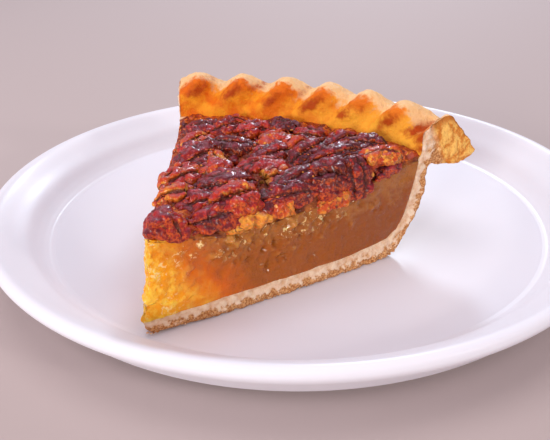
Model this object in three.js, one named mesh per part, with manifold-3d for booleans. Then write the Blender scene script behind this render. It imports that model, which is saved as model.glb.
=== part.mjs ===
// A slice of pecan pie on its dinner plate, in millimetres, +Z up.
// The origin is the centre of the plate's underside. The slice has a frame of its own: x runs from
// the tip along the middle of the slice, y to its left, z up from the bottom of the crust.
import * as THREE from 'three';
import * as BufferGeometryUtils from 'three/addons/utils/BufferGeometryUtils.js';
import Module from 'manifold-3d';

const wasm = await Module();
wasm.setup();

// ---- driving dimensions ----
const PLATE_RADIUS = 120;
const WELL_HEIGHT = 6.3; // top of the flat well above the table
const PLATE_STEPS = 48;

// Section of the plate, radius and height, from the middle of its underside to the middle of its well.
const PLATE_SECTION = [
  [0, 2], [62, 2], [64.5, 0], [70, 0], [73, 1.6], [92, 1.5], [101, 1.8], [106, 3], [108.9, 5], [112.2, 9],
  [115.6, 13], [118.3, 15.3], [119.7, 17.3], [PLATE_RADIUS, 18.8], [119.3, 20.4], [117.6, 21], [115.2, 20.2],
  [110.5, 16.8], [105.8, 13.5], [102.8, 9.9], [100.2, 7.5], [97.6, WELL_HEIGHT], [0, WELL_HEIGHT],
];

const SLICE_TIP = [-44, -84.6]; // on the plate
const SLICE_HEADING = degrees(61.7); // of the middle line, from the plate's +X
const RIGHT_FACE = degrees(-30); // the two cuts, from the middle line: a sixth of the pie
const LEFT_FACE = degrees(31.6);
const REST_GAP = 0.2; // crust above the well
const GAP = 0.4; // between pieces that touch
const CRUST_STEPS = 37; // around the slice

// The knife leaned: the tip spreads out to the left low down, and the right face bellies out.
const TIP_LEAN = [[0, 2.9], [5, 5], [19, 2.6], [32, 0.6], [38, 0]]; // height, shift
const TIP_LEAN_REACH = 22;
const BELLY = 1.5;
const BELLY_HEIGHT = 40;
const BELLY_LENGTH = 95;

// Crust section, radius and height, from the tip out: stations of the outside and the inside pair up.
const CRUST_OUTSIDE = [
  [0, 0.8], [25, 0], [50, 0], [75, 0], [89, 0.3], [95, 3.2], [98.6, 8], [102.3, 13.5], [104.8, 19],
  [105.4, 25], [105.8, 30], [107.5, 33.2], [112.5, 32.4], [118.5, 31.3], [124.4, 30.8],
  [128.5, 32], [129.8, 33.8],
];
const CRUST_INSIDE = [
  [0, 5], [25, 6.1], [50, 6.1], [72, 6.6], [83, 7.4], [89.5, 8.3], [93.3, 10.6], [96.3, 16], [98.4, 22],
  [99.9, 28], [101.2, 34], [102.6, 40], [105.3, 47.4], [110.5, 50], [116.5, 48.4], [122.3, 42], [127.6, 36.6],
];

// The crimped rim: ridges at these angles from the middle line, left to right, all leaning over.
const RIDGE_ANGLES = [37.5, 27, 17.4, 7.4, -2.1, -11.9, -21, -30.5, -40].map(degrees);
const RIDGE_LEAN = degrees(6.5); // from the foot of the rim to its crest
const RIDGE_RADIAL = 1.8;
const RIDGE_RISE = 2.2;
const RIM_FOOT = 0.64; // share of the crust's section where the crimping begins
const RIM_CREST = 0.76;
const RIDGE_FOOT_HEIGHTS = [34, 46];
const CRUST_RELIEF = 0.5;
const CRUST_RELIEF_LENGTH = 9;

// Where the rim sinks in beside the right cut: depth, and how it comes in by angle and along the section.
const RIM_DIP = 3.6;
const RIM_DIP_ANGLES = [23, 26.5].map(degrees);
const RIM_DIP_STARTS = [0.64, 0.74];
const RIM_DIP_ENDS = [0.8, 0.88];

// Heights along the cut faces, radius and height: top of the filling and of the pecan layer.
const FILLING_RIGHT = [
  [0, 32], [12, 29.5], [26, 26.8], [45, 27.4], [60, 28], [73, 29.2], [82, 31.4], [98, 35],
];
const FILLING_LEFT = [[0, 32], [12, 29.5], [26, 27.5], [60, 27], [82, 27.5], [98, 29.5]];
const LAYER_RIGHT = [[0, 35.5], [12, 33.8], [30, 31.4], [50, 31.8], [70, 33.4], [85, 36], [100, 38.4]];
const LAYER_LEFT = [[0, 35.5], [20, 34.6], [40, 34.2], [60, 33.4], [83, 33.4], [100, 36]];
const LAYER_RELIEF = 0.9;
const LAYER_RELIEF_LENGTH = 13;
const FILLING_EDGE_HEIGHT = 30; // where the layers meet the wall, about
const LAYER_EDGE_HEIGHT = 36;
const FILLING_GRID = [12, 8, 3]; // along, across and up
const LAYER_GRID = [12, 8, 1];

// Pecans: place [x, y, height of the top], turn [yaw, pitch, roll] in degrees, size [length, width,
// thickness], and, on a broken one, the stretch that is left of it, from -1 to 1 along its length.
// One that is sunk lies in a pocket of the bed and of the filling, and the others lie on the bed.
const PECANS = [
  { place: [6.8, -1, 38.6], turn: [80, 0, 4], size: [25, 13.5, 8.5] },
  { place: [21.5, -11.5, 36.4], turn: [-40, 4, 12], size: [21.5, 14.5, 6.5] },
  { place: [29.5, -10.5, 39.6], turn: [-38, 8, 30], size: [18, 13, 8.5] },
  { place: [41, -23.2, 37.8], turn: [-48, 6, 8], size: [25, 14, 7] },
  { place: [57.5, -29.5, 41.2], turn: [-58, 10, 35], size: [16, 14, 9] },
  { place: [39, -0.5, 38.6], turn: [-42, 4, 12], size: [22.5, 14, 8] },
  { place: [56, -5, 39.2], turn: [-41, -4, -24], size: [20.5, 14.5, 8.5] },
  { place: [66.5, -36.2, 42], turn: [-120, -62, 10], size: [14.5, 12, 7.5], sunk: true },
  { place: [73.5, -26, 41.6], turn: [-45, 5, 10], size: [26, 11.5, 7.5] },
  { place: [73, -14.5, 40.4], turn: [-12, 6, 48], size: [22.5, 11.5, 8] },
  { place: [76.5, -41, 42.8], turn: [-56, 0, -12], size: [18.5, 12, 7] },
  { place: [29.8, -16.2, 33.4], turn: [-30, 6, -20], size: [18.5, 8, 6], sunk: true },
  { place: [40, -22, 36], turn: [-30, 10, 0], size: [14, 10.5, 8], span: [-1, 0.5], sunk: true },
  { place: [57, -31.6, 34.2], turn: [-34, 14, 0], size: [16, 11, 8.5], span: [-0.8, 1], sunk: true },
  { place: [77.5, -43.4, 37], turn: [-30, 16, -10], size: [12, 7, 5], sunk: true },
  { place: [57, 22, 38.4], turn: [-17, 4, 14], size: [20.5, 14, 7.5] },
  { place: [68, 16.5, 39], turn: [-74, -3, -12], size: [24, 13.5, 8] },
  { place: [55.5, 13.5, 37.2], turn: [-130, 3, 30], size: [19.5, 8, 6] },
  { place: [38.5, 15.5, 37.8], turn: [-16, -4, 10], size: [18.5, 12, 7] },
  { place: [26, 8.5, 37.6], turn: [-50, 6, 0], size: [14, 10.5, 6.5], span: [-1, 0.4] },
  { place: [25.5, -0.5, 37], turn: [-37, 0, 8], size: [14, 11, 6] },
  { place: [47.5, 9.5, 38.2], turn: [-35, 5, -14], size: [14.5, 11, 7] },
  { place: [52, -20.5, 39.4], turn: [-23, 6, 6], size: [18.5, 11, 6.5] },
  { place: [52, -12.5, 38.8], turn: [-20, -8, 20], size: [13, 9.5, 6.5], span: [-0.6, 1] },
  { place: [68.5, -1.5, 38.9], turn: [-34, 3, 10], size: [17.5, 12, 7] },
  { place: [78.5, 36.5, 38.8], turn: [-67, 4, 12], size: [16, 12, 7] },
  { place: [66.5, 30.6, 38.2], turn: [-8, -3, -10], size: [16, 11.5, 7] },
  { place: [81, 28, 39.2], turn: [-27, 6, 0], size: [17.5, 11, 7] },
  { place: [85.5, 17, 39.4], turn: [-45, 0, 16], size: [16, 11, 7] },
  { place: [80, 4, 39.2], turn: [-50, 5, -12], size: [16.5, 11.5, 7] },
  { place: [92.5, 8.5, 40.2], turn: [-80, 0, -20], size: [17.5, 10, 7] },
  { place: [89, -6, 40], turn: [-94, 6, 10], size: [15, 11, 7] },
  { place: [78.5, -6.5, 39.4], turn: [-14, 0, 10], size: [13, 9.5, 6.5], span: [-1, 0.6] },
  { place: [86.5, -20.5, 41], turn: [-24, 4, 0], size: [16, 11, 7] },
  { place: [86.5, -31.5, 42.4], turn: [-66, -6, 14], size: [15.5, 11, 7] },
  { place: [89, 30, 39.2], turn: [-60, 10, -10], size: [14, 10.5, 6.5] },
];
const PECAN_BACK = 0.6; // share of the thickness that the back takes up
const PECAN_STEEP = 45; // past this pitch a pecan is placed by its end
const PECAN_OVERHANG = 1.2; // how far a pecan may stand out of a cut face
const PECAN_HEIGHTS = [24, 60]; // between which the pecans are trimmed to the slice
const SPREAD = 3.4; // moves the sides of a wedge out past the overhang and a gap
const SPREAD_DROP = 12;

// A pecan half's cross-section, as directions from its middle with a reach of its half width and
// height: a rounded back with two long grooves, and a flat face.
const PECAN_SECTION = [
  [0, 1], [38, 0.98], [62, 0.7], [90, 1], [118, 0.7], [142, 0.98], [180, 1], [225, 0.6], [315, 0.6],
];
const PECAN_RINGS = 4;
const PECAN_FULLNESS = 2.4; // power of its outline: the higher, the blunter both ends
const PECAN_BLUNT = 0.88; // added at one end and taken off at the other
const PECAN_END = 0.06; // squared share of the width left at the ends

// Chopped pecans in the layer and crumbs along the cut of the crust, scattered with a fixed seed.
const CRUMB_REACH = 88;
const CRUMB_HEIGHT = 3.2;
const CHOPPED_COUNT = 22;
const CHOPPED_SIZE = [2.4, 4.2];
const CRUMB_COUNT = 10;
const CRUMB_SIZE = [1.4, 2.6];
const SEED = 7;

const SLIVER = 0.05; // detail finer than this, left by cutting, is dropped

// ---- small maths ----
function degrees(value) {
  return THREE.MathUtils.degToRad(value);
}

/** Value at x on a line of [x, value] points, held level past both ends. */
function along(points, x) {
  const next = points.findIndex(([at]) => at >= x);
  if (next === 0) return points[0][1];
  if (next < 0) return points[points.length - 1][1];
  const [x0, y0] = points[next - 1];
  const [x1, y1] = points[next];
  return y0 + ((y1 - y0) * (x - x0)) / (x1 - x0);
}

/** The point a share t of the way through a list of stations. */
function station(points, t) {
  const at = t * (points.length - 1);
  const first = Math.min(Math.floor(at), points.length - 2);
  const [r0, z0] = points[first];
  const [r1, z1] = points[first + 1];
  const share = at - first;
  return [r0 + (r1 - r0) * share, z0 + (z1 - z0) * share];
}

/** A slow, uneven wave between -1 and 1, for surfaces that aren't smooth. */
function uneven(x, y, z, wavelength) {
  const k = (2 * Math.PI) / wavelength;
  const first = Math.sin(k * (x + 0.31 * y) + 1.7) * Math.sin(k * (0.93 * y - 0.2 * x) + 0.4);
  const second = Math.sin(k * 1.9 * (0.8 * x - 0.55 * y + 0.6 * z) + 2.9);
  return 0.65 * first + 0.35 * second;
}

let seedState = SEED;
/** Seeded random number from low to high. */
function random(low, high) {
  seedState = (Math.imul(seedState, 1664525) + 1013904223) >>> 0;
  return low + ((high - low) * seedState) / 2 ** 32;
}

// ---- closed meshes and booleans ----
/** Merges shared corners, drops flat triangles and turns the faces outward. */
function closed(geometry) {
  const bare = new THREE.BufferGeometry();
  bare.setAttribute('position', geometry.getAttribute('position').clone());
  if (geometry.index) bare.setIndex(geometry.index.clone());
  const merged = BufferGeometryUtils.mergeVertices(bare, 1e-3);
  const position = merged.getAttribute('position');
  const index = merged.index.array;
  const kept = [];
  const [a, b, c] = [new THREE.Vector3(), new THREE.Vector3(), new THREE.Vector3()];
  let volume = 0;
  for (let i = 0; i < index.length; i += 3) {
    const [ia, ib, ic] = [index[i], index[i + 1], index[i + 2]];
    if (ia === ib || ib === ic || ic === ia) continue;
    a.fromBufferAttribute(position, ia);
    b.fromBufferAttribute(position, ib);
    c.fromBufferAttribute(position, ic);
    volume += a.dot(b.cross(c));
    kept.push(ia, ib, ic);
  }
  if (volume < 0) kept.reverse();
  merged.setIndex(kept);
  return merged;
}

function toSolid(geometry) {
  const mesh = closed(geometry);
  return new wasm.Manifold(new wasm.Mesh({
    numProp: 3,
    vertProperties: new Float32Array(mesh.getAttribute('position').array),
    triVerts: new Uint32Array(mesh.index.array),
  }));
}

function toGeometry(solid) {
  const mesh = solid.simplify(SLIVER).getMesh();
  const geometry = new THREE.BufferGeometry();
  geometry.setAttribute('position', new THREE.BufferAttribute(mesh.vertProperties, mesh.numProp));
  geometry.setIndex(new THREE.BufferAttribute(mesh.triVerts, 1));
  return geometry;
}

/** The largest of the pieces that cutting has left. */
function largest(solid) {
  const pieces = solid.decompose();
  return pieces.reduce((best, piece) => (piece.volume() > best.volume() ? piece : best));
}

/** A unit box in small squares, each corner (u, v, w) from 0 to 1 put where place says. */
function mappedBox(nu, nv, nw, place) {
  const geometry = new THREE.BoxGeometry(1, 1, 1, nu, nv, nw);
  const position = geometry.getAttribute('position');
  for (let i = 0; i < position.count; i += 1) {
    const [x, y, z] = place(position.getX(i) + 0.5, position.getY(i) + 0.5, position.getZ(i) + 0.5);
    position.setXYZ(i, x, y, z);
  }
  return closed(geometry);
}

// ---- the slice's own shape ----
/** A point of the slice from its radius, its angle from the middle line and its height. */
function slicePoint(radius, angle, z) {
  const lean = along(TIP_LEAN, z) * Math.exp(-radius / TIP_LEAN_REACH);
  const toRight = Math.max(0, angle / RIGHT_FACE);
  const share = Math.sin(Math.PI * Math.min(1, radius / BELLY_LENGTH)) * Math.max(0, 1 - z / BELLY_HEIGHT);
  const belly = BELLY * share * toRight ** 2;
  const x = radius * Math.cos(angle) - lean * Math.cos(RIGHT_FACE) + belly * Math.sin(RIGHT_FACE);
  const y = radius * Math.sin(angle) - lean * Math.sin(RIGHT_FACE) - belly * Math.cos(RIGHT_FACE);
  return [x, y, z];
}

/** The angle a share v of the way from the right cut to the left one. */
function turnedBy(v) {
  return RIGHT_FACE + (LEFT_FACE - RIGHT_FACE) * v;
}

/** Blends a height given for the two cut faces across the slice. */
function across(right, left, radius, angle) {
  const share = (angle - RIGHT_FACE) / (LEFT_FACE - RIGHT_FACE);
  return along(right, radius) * (1 - share) + along(left, radius) * share;
}

const insideByRadius = CRUST_INSIDE.slice(0, 7);
const insideByHeight = CRUST_INSIDE.slice(5, 12).map(([radius, z]) => [z, radius]);

/** Radius inside the crust at a height, clear of the wall and of the feet of the ridges. */
function wallRadius(z) {
  const ridgeFoot = RIDGE_RADIAL * THREE.MathUtils.smoothstep(z, ...RIDGE_FOOT_HEIGHTS);
  return along(insideByHeight, z) - GAP - ridgeFoot;
}

/** How far up a crimp ridge (1) or down in a groove (-1) the rim is at an angle. */
function ridge(angle) {
  const next = RIDGE_ANGLES.findIndex((at) => at <= angle);
  const share = (RIDGE_ANGLES[next - 1] - angle) / (RIDGE_ANGLES[next - 1] - RIDGE_ANGLES[next]);
  return Math.cos(2 * Math.PI * share);
}

/** How far the top of the rim is sunk in at a share u of the section. */
function rimDip(u, angle) {
  const beside = THREE.MathUtils.smoothstep(-angle, ...RIM_DIP_ANGLES);
  const begun = THREE.MathUtils.smoothstep(u, ...RIM_DIP_STARTS);
  const over = THREE.MathUtils.smoothstep(u, ...RIM_DIP_ENDS);
  return RIM_DIP * beside * begun * (1 - over);
}

/** The pastry: floor, wall and crimped rim. u runs along the section, w through its thickness. */
function crustShape() {
  return mappedBox(CRUST_INSIDE.length - 1, CRUST_STEPS, 2, (u, v, w) => {
    const angle = turnedBy(v);
    const [outsideRadius, outsideZ] = station(CRUST_OUTSIDE, u);
    const [insideRadius, insideZ] = station(CRUST_INSIDE, u);
    const radius = outsideRadius + (insideRadius - outsideRadius) * w;
    const z = outsideZ + (insideZ - outsideZ) * w;
    const crimp = THREE.MathUtils.smoothstep(u, RIM_FOOT, RIM_CREST);
    const climb = THREE.MathUtils.clamp((u - RIM_FOOT) / (RIM_CREST - RIM_FOOT), 0, 1);
    const wave = crimp * ridge(angle + RIDGE_LEAN * (climb - 1));
    const [x, y] = [radius * Math.cos(angle), radius * Math.sin(angle)];
    const bumps = CRUST_RELIEF * uneven(x, y, z, CRUST_RELIEF_LENGTH);
    const bare = outsideZ > 1 ? Math.max(crimp, 1 - w) : 0; // where no filling lies against it
    return slicePoint(
      radius - RIDGE_RADIAL * wave + bumps * bare,
      angle,
      z + RIDGE_RISE * wave * w + bumps * crimp - rimDip(u, angle) * w,
    );
  });
}

/** A small faceted lump, stretched and turned at random. */
function lump(x, y, z, size) {
  const geometry = new THREE.IcosahedronGeometry(size / 2, 0);
  geometry.scale(random(0.9, 1.5), random(0.8, 1.1), random(0.6, 0.9));
  geometry.rotateX(random(0, Math.PI));
  geometry.rotateZ(random(0, Math.PI));
  geometry.translate(x, y, z);
  return toSolid(geometry);
}

/** Crumbs stuck along the foot of the two cut faces of the crust. */
function crumbs() {
  const solids = [];
  for (let i = 0; i < CRUMB_COUNT; i += 1) {
    const size = random(...CRUMB_SIZE);
    const angle = i % 3 === 0 ? LEFT_FACE : RIGHT_FACE;
    const radius = random(4, CRUMB_REACH);
    const [x, y, z] = slicePoint(radius, angle, random(0.8 * size, CRUMB_HEIGHT));
    solids.push(lump(x, y, z, size));
  }
  return solids;
}

/** The custard: from the crust's floor and wall up to the pecan layer. */
function fillingShape() {
  return mappedBox(...FILLING_GRID, (u, v, w) => {
    const angle = turnedBy(v);
    const rimRadius = (z) => u * wallRadius(z);
    const bottom = along(insideByRadius, u * wallRadius(0)) + GAP;
    const top = across(FILLING_RIGHT, FILLING_LEFT, rimRadius(FILLING_EDGE_HEIGHT), angle);
    const z = bottom + (top - bottom) * w;
    return slicePoint(rimRadius(z), angle, z);
  });
}

/** The glazed bed of the pecans, from the filling up, its top raised and its bottom lowered. */
function bedShape(rise, drop) {
  return mappedBox(...LAYER_GRID, (u, v, w) => {
    const angle = turnedBy(v);
    const atRadius = u * wallRadius(LAYER_EDGE_HEIGHT);
    const fillingTop = across(FILLING_RIGHT, FILLING_LEFT, u * wallRadius(FILLING_EDGE_HEIGHT), angle);
    const bottom = fillingTop + GAP - drop;
    const [x, y] = slicePoint(atRadius, angle, bottom);
    const relief = LAYER_RELIEF * uneven(x, y, 0, LAYER_RELIEF_LENGTH);
    const top = across(LAYER_RIGHT, LAYER_LEFT, atRadius, angle) + relief + rise;
    const z = bottom + (top - bottom) * w;
    return slicePoint(u * wallRadius(z), angle, z);
  });
}

/** Chopped pecans lying in the bed. */
function choppedPecans() {
  const solids = [];
  for (let i = 0; i < CHOPPED_COUNT; i += 1) {
    const size = random(...CHOPPED_SIZE);
    const radius = Math.sqrt(random(0.01, 0.97)) * wallRadius(LAYER_EDGE_HEIGHT) - size / 2;
    const inset = size / 2 / radius;
    const angle = random(RIGHT_FACE + inset, LEFT_FACE - inset);
    const top = across(LAYER_RIGHT, LAYER_LEFT, radius, angle);
    solids.push(lump(...slicePoint(radius, angle, top), size));
  }
  return solids;
}

/** A wedge with the outline of the cut slice, spread by a margin, that fits inside the crust's wall. */
function knifeWedge(margin, [low, high]) {
  return toSolid(mappedBox(1, 12, 6, (u, v, w) => {
    const angle = turnedBy(v);
    const z = low + (high - low) * w;
    const radius = u * wallRadius(z);
    const [x, y] = slicePoint(radius, angle, z);
    if (u === 0) return [x - margin / Math.sin(LEFT_FACE), y, z];
    const out = margin * (v * 2 - 1); // to the left on the left half, to the right on the right half
    return [x - out * Math.sin(angle), y + out * Math.cos(angle), z];
  }));
}

/** A pecan half, whole or broken off at the ends of span, its middle at the origin. */
function pecanShape([length, width, thickness], [from, to]) {
  const sides = PECAN_SECTION.length;
  const corners = [];
  const faces = [];
  for (let ring = 0; ring <= PECAN_RINGS; ring += 1) {
    const at = from + ((to - from) * ring) / PECAN_RINGS;
    const outline = Math.abs(at) ** (PECAN_FULLNESS + PECAN_BLUNT * Math.sign(at));
    const taper = Math.sqrt(Math.max(PECAN_END, 1 - outline));
    for (const [direction, reach] of PECAN_SECTION) {
      const turn = degrees(direction);
      corners.push(
        (at * length) / 2,
        (Math.cos(turn) * reach * taper * width) / 2,
        Math.sin(turn) * reach * taper * thickness * PECAN_BACK,
      );
    }
  }
  for (let ring = 0; ring < PECAN_RINGS; ring += 1) {
    for (let side = 0; side < sides; side += 1) {
      const a = ring * sides + side;
      const b = ring * sides + ((side + 1) % sides);
      faces.push(a, b, a + sides, b, b + sides, a + sides);
    }
  }
  for (const [ring, order] of [[0, -1], [PECAN_RINGS, 1]]) {
    const middle = corners.length / 3;
    const end = ring === 0 ? from : to;
    corners.push((end * length) / 2, 0, 0);
    for (let side = 0; side < sides; side += 1) {
      const a = ring * sides + side;
      const b = ring * sides + ((side + 1) % sides);
      faces.push(middle, ...(order > 0 ? [a, b] : [b, a]));
    }
  }
  const geometry = new THREE.BufferGeometry();
  geometry.setAttribute('position', new THREE.Float32BufferAttribute(corners, 3));
  geometry.setIndex(faces);
  return geometry;
}

/** One pecan in its place in the slice, made larger all round by a margin. */
function placedPecan({ place, turn, size, span = [-1, 1] }, margin) {
  const [x, y, top] = place;
  const [yaw, pitch, roll] = turn.map(degrees);
  const geometry = pecanShape(size.map((value) => value + 2 * margin), span);
  geometry.applyMatrix4(new THREE.Matrix4().makeRotationFromEuler(new THREE.Euler(roll, -pitch, yaw, 'ZYX')));
  geometry.computeBoundingBox();
  const steep = Math.abs(turn[1]) > PECAN_STEEP;
  const rise = steep ? geometry.boundingBox.max.z : size[2] * PECAN_BACK + margin;
  geometry.translate(x, y, top - rise + margin);
  return toSolid(geometry);
}

function plateShape() {
  const section = PLATE_SECTION.map(([radius, z]) => new THREE.Vector2(radius, z));
  return closed(new THREE.LatheGeometry(section, PLATE_STEPS).rotateX(Math.PI / 2));
}

// ---- the parts ----
function named(name, geometry, colour, roughness) {
  const material = new THREE.MeshStandardMaterial({ color: colour, roughness, metalness: 0 });
  const mesh = new THREE.Mesh(geometry, material);
  mesh.name = name;
  return mesh;
}

const subtractAll = (solid, cutters) => cutters.reduce((rest, cutter) => rest.subtract(cutter), solid);
const addAll = (solids) => solids.reduce((rest, next) => rest.add(next));

const wedge = knifeWedge(PECAN_OVERHANG, PECAN_HEIGHTS);
const spreadBed = toSolid(bedShape(GAP, SPREAD_DROP)).translate([-SPREAD, 0, 0]);
const bedBelow = toSolid(bedShape(GAP, 0)).add(spreadBed);
const pecans = [];
const pockets = [];
const deepPockets = [];
for (const spec of PECANS) {
  const solid = placedPecan(spec, 0).intersect(wedge);
  pecans.push(largest(subtractAll(solid, spec.sunk ? pockets : [...pockets, bedBelow])));
  const pocket = placedPecan(spec, GAP);
  pockets.push(pocket);
  if (spec.sunk) deepPockets.push(pocket);
}
const chopped = subtractAll(addAll(choppedPecans()), pockets).intersect(wedge);
const bed = largest(subtractAll(toSolid(bedShape(0, 0)), deepPockets).add(chopped));
const filling = largest(subtractAll(toSolid(fillingShape()), deepPockets));
const crust = largest(addAll([toSolid(crustShape()), ...crumbs()]));

const slice = new THREE.Group();
slice.position.set(...SLICE_TIP, WELL_HEIGHT + REST_GAP);
slice.rotation.z = SLICE_HEADING;
slice.add(named('crust', toGeometry(crust), 0xe3b878, 0.8));
slice.add(named('filling', toGeometry(filling), 0xc07a24, 0.3));
slice.add(named('pecan_bed', toGeometry(bed), 0x6e2a16, 0.35));
pecans.forEach((solid, i) => {
  const name = `pecan_${String(i + 1).padStart(2, '0')}`;
  slice.add(named(name, toGeometry(solid), 0x7a2f1c, 0.35));
});

const group = new THREE.Group();
group.add(named('plate', plateShape(), 0xf1ecf0, 0.15));
group.add(slice);
export default group;
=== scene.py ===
import math

import bpy
import numpy as np
from mathutils import Matrix, Vector


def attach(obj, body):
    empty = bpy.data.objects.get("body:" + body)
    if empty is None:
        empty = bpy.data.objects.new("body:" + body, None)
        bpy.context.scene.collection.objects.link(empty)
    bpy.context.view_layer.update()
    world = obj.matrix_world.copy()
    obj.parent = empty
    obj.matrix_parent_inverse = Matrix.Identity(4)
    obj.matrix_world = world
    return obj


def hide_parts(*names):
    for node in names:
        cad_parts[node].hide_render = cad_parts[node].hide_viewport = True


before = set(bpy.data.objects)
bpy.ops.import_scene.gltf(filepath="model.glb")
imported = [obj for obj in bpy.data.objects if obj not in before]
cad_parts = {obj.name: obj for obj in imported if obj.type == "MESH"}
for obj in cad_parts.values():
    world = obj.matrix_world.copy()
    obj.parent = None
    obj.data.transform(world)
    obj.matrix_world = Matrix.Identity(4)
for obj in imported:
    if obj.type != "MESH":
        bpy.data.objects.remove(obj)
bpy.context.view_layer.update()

# -------------------------------- sizes, in millimetres
# The slice has a frame of its own, as in the part's source: x runs from the tip along the middle of
# the slice, y to its left, z up from the bottom of the crust.
MM = 0.001
WELL_HEIGHT = 6.3
REST_GAP = 0.2  # between the crust and the plate
SLICE_TIP = (-44.0, -84.6)
SLICE_HEADING = math.radians(61.7)
RIGHT_FACE = math.radians(-30)
LEFT_FACE = math.radians(31.6)
GAP = 0.4  # between the wall of the crust and what it holds

# Section of the plate, radius and height, from the middle of the underside to the middle of the well.
PLATE_SECTION = [
    (0, 2), (30, 2), (62, 2), (64.5, 0), (70, 0), (73, 1.6), (92, 1.5), (101, 1.8), (106, 3), (108.9, 5),
    (112.2, 9), (115.6, 13), (118.3, 15.3), (119.7, 17.3), (120, 18.8), (119.3, 20.4), (117.6, 21),
    (115.2, 20.2), (110.5, 16.8), (105.8, 13.5), (102.8, 9.9), (100.2, 7.5), (97.6, 6.3), (90, 6.3),
    (40, 6.3), (0, 6.3),
]

# Where the knife leaned: height and shift of the tip, and how far along the slice it reaches.
TIP_LEAN = [(0, 2.9), (5, 5), (19, 2.6), (32, 0.6), (38, 0)]
TIP_LEAN_REACH = 22
# How far the right cut bulges low down, up to what height, and over what length from the tip.
BELLY = 1.5
BELLY_HEIGHT = 40
BELLY_LENGTH = 95

# Section of the crust, radius and height, from the tip out.
CRUST_OUTSIDE = [
    (0, 0.8), (25, 0), (50, 0), (75, 0), (89, 0.3), (95, 3.2), (98.6, 8), (102.3, 13.5), (104.8, 19),
    (105.4, 25), (105.8, 30), (107.5, 33.2), (112.5, 32.4), (118.5, 31.3), (124.4, 30.8), (128.5, 32),
    (129.8, 33.8),
]
CRUST_INSIDE = [
    (0, 5), (25, 6.1), (50, 6.1), (72, 6.6), (83, 7.4), (89.5, 8.3), (93.3, 10.6), (96.3, 16), (98.4, 22),
    (99.9, 28), (101.2, 34), (102.6, 40), (105.3, 47.4), (110.5, 50), (116.5, 48.4), (122.3, 42),
    (127.6, 36.6),
]
# Crimped rim: its ridges in degrees from the middle line, how far they lean on their way up the wall, how
# far they stand in and up, how narrow they are (1 is as wide as the grooves), and the shares of the
# section at which the ridges start and at which they are full.
RIDGE_ANGLES = [37.5, 27, 17.4, 7.4, -2.1, -11.9, -21, -30.5, -40]
RIDGE_LEAN = math.radians(6.5)
RIDGE_RADIAL = 1.8
RIDGE_RISE = 2.2
RIDGE_NARROWNESS = 0.8
RIM_FOOT = 0.64
RIM_CREST = 0.76
# Dip of the rim beside the right cut: its depth, the angles over which it sets in, and the shares of the
# section over which it starts and ends.
RIM_DIP = 3.6
RIM_DIP_ANGLES = (math.radians(23), math.radians(26.5))
RIM_DIP_STARTS = (0.64, 0.74)
RIM_DIP_ENDS = (0.8, 0.88)
# Darker spots inside the rim: angle from the middle line and height in the middle of the spot, half
# width in degrees, half height, and how strong. They slant the way the ridges lean.
RIM_SPOTS = [
    (27.1, 46.6, 2.8, 3.8, 0.8), (19.3, 46.2, 1.9, 4.1, 0.9), (14.1, 47.6, 2.3, 1.9, 0.6),
    (9.5, 44.6, 1.7, 4.1, 0.85), (4.2, 47.2, 1.9, 1.8, 0.55), (0, 44.8, 2.2, 4.1, 1),
    (-8.2, 43.6, 2.0, 3.6, 0.75), (-12.5, 46.5, 1.7, 1.9, 0.5), (-19.9, 44.8, 2.0, 3.8, 0.85),
    (-25.7, 43.6, 2.2, 2.9, 1), (-29.3, 43.6, 1.9, 2.9, 1), (-29, 39, 2.3, 2.4, 0.7),
]
RIM_SPOT_SLANT = 0.5  # degrees to the right for each millimetre up

# Tops of the filling and of the bed of nuts along the two cut faces, radius and height.
FILLING_RIGHT = [(0, 32), (12, 29.5), (26, 26.8), (45, 27.4), (60, 28), (73, 29.2), (82, 31.4), (98, 35)]
FILLING_LEFT = [(0, 32), (12, 29.5), (26, 27.5), (60, 27), (82, 27.5), (98, 29.5)]
LAYER_RIGHT = [(0, 35.5), (12, 33.8), (30, 31.4), (50, 31.8), (70, 33.4), (85, 36), (100, 38.4)]
LAYER_LEFT = [(0, 35.5), (20, 34.6), (40, 34.2), (60, 33.4), (83, 33.4), (100, 36)]

# Colours of the nuts, as places on a scale from nearly black to bare flesh.
DARK, PLUM, RED, RUST, AMBER = 0.0, 0.25, 0.5, 0.75, 1.0


def pecan(place, turn, size, hue, span=(-1, 1), grooves=2, out=1.2):
    """A nut.

    place: x, y and height of its top. turn: yaw, pitch and roll in degrees. size: length, width and
    thickness. span: the stretch left of a broken one. out: how far it may pass a cut face.
    """
    return {
        "place": place, "turn": turn, "size": size, "hue": hue, "span": span, "grooves": grooves, "out": out,
    }


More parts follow.
